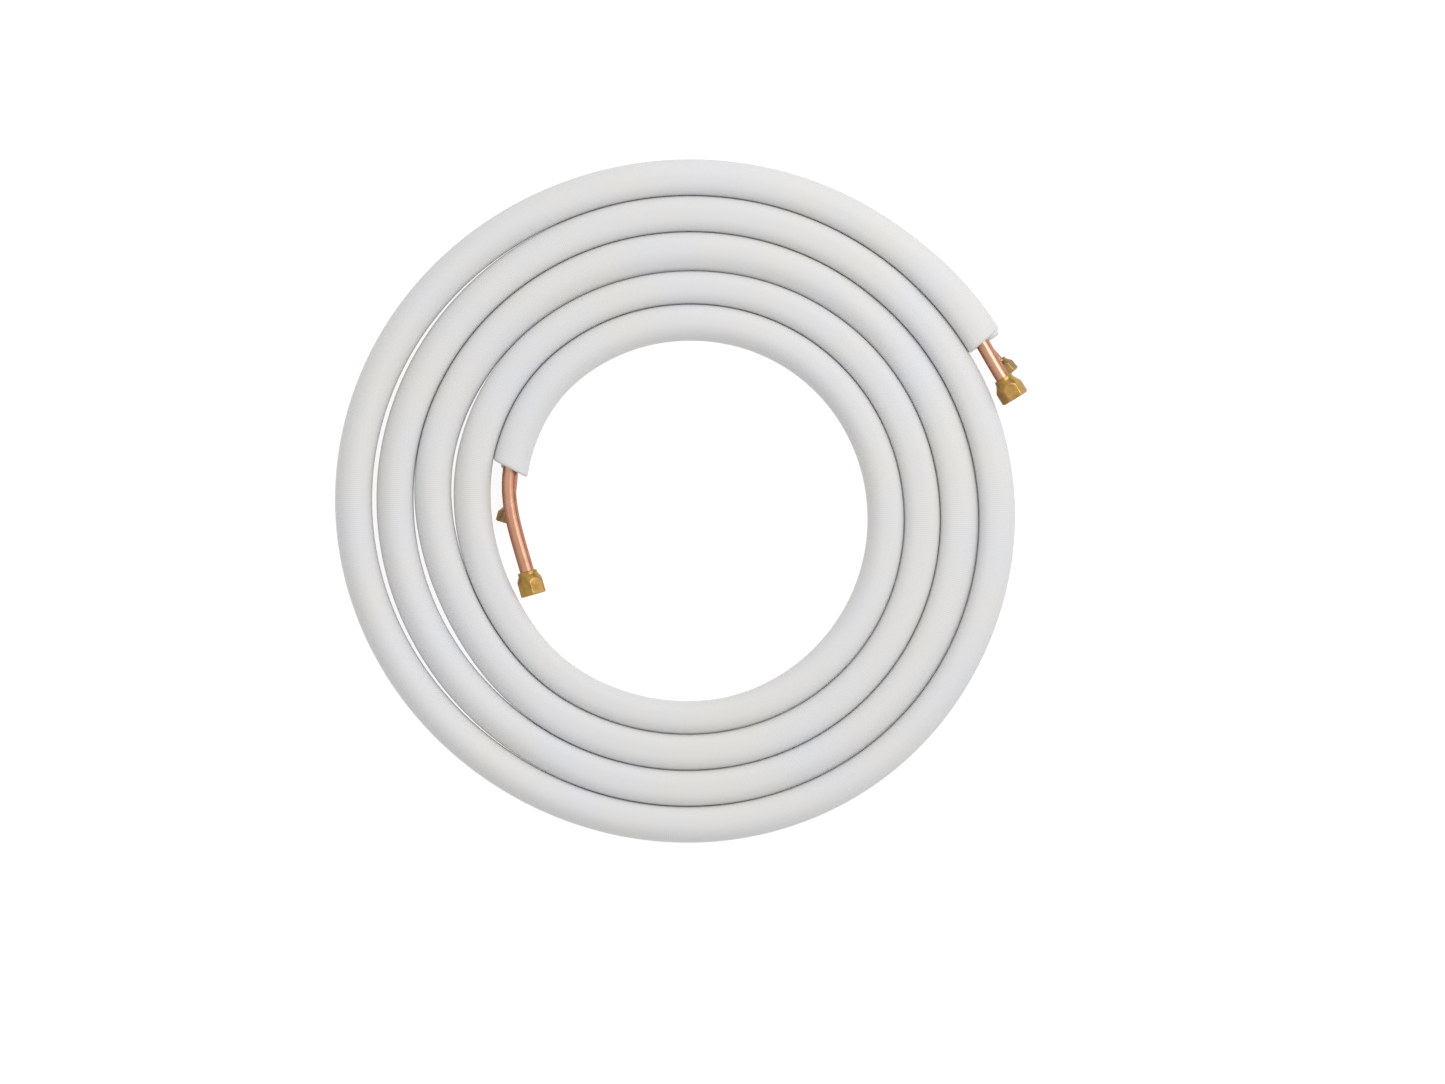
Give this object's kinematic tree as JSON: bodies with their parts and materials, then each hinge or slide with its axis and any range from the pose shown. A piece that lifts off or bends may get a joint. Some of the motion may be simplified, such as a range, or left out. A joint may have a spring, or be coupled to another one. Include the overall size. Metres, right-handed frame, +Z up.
{
  "type": "insulated twin copper line set",
  "caption": "Coiled pair of insulated copper refrigerant lines, a larger suction line on a smaller liquid line, with a brass flare nut on each end.",
  "frame": {"origin": "centre of the base of the part's box, on the floor under the coil's middle", "axes": "+Z up out of the coil's flat plane, +X towards the side of the outer ends as seen in the picture, +Y towards the picture's top"},
  "size_m": [0.6086, 0.5988, 0.0565],
  "materials": {
    "copper": "drawn soft copper, satin, a little darker towards the ends",
    "nut_brass": "forged and turned brass, satin",
    "foam": "white polyethylene foam with a fine embossed crosswise rib"
  },
  "bodies": {
    "line_set": {"suction_tube": "copper", "suction_insulation": "foam", "liquid_tube": "copper", "liquid_insulation": "foam"},
    "suction_nut_outer": {"suction_nut_outer": "nut_brass"},
    "suction_nut_inner": {"suction_nut_inner": "nut_brass"},
    "liquid_nut_outer": {"liquid_nut_outer": "nut_brass"},
    "liquid_nut_inner": {"liquid_nut_inner": "nut_brass"}
  },
  "joints": [
    {"name": "suction_outer_spin", "type": "hinge", "parent": "line_set", "child": "suction_nut_outer", "pos_m": [0.28265, 0.10806, 0.0409], "axis": [0.5304, -0.8477, 0], "continuous": true},
    {"name": "suction_inner_spin", "type": "hinge", "parent": "line_set", "child": "suction_nut_inner", "pos_m": [-0.13594, -0.0621, 0.0409], "axis": [0.2738, -0.9618, 0], "continuous": true},
    {"name": "liquid_outer_spin", "type": "hinge", "parent": "line_set", "child": "liquid_nut_outer", "pos_m": [0.28059, 0.12465, 0.01247], "axis": [0.6354, -0.7722, 0], "continuous": true},
    {"name": "liquid_inner_spin", "type": "hinge", "parent": "line_set", "child": "liquid_nut_inner", "pos_m": [-0.15187, -0.00433, 0.01247], "axis": [-0.2662, -0.9639, 0], "continuous": true}
  ]
}
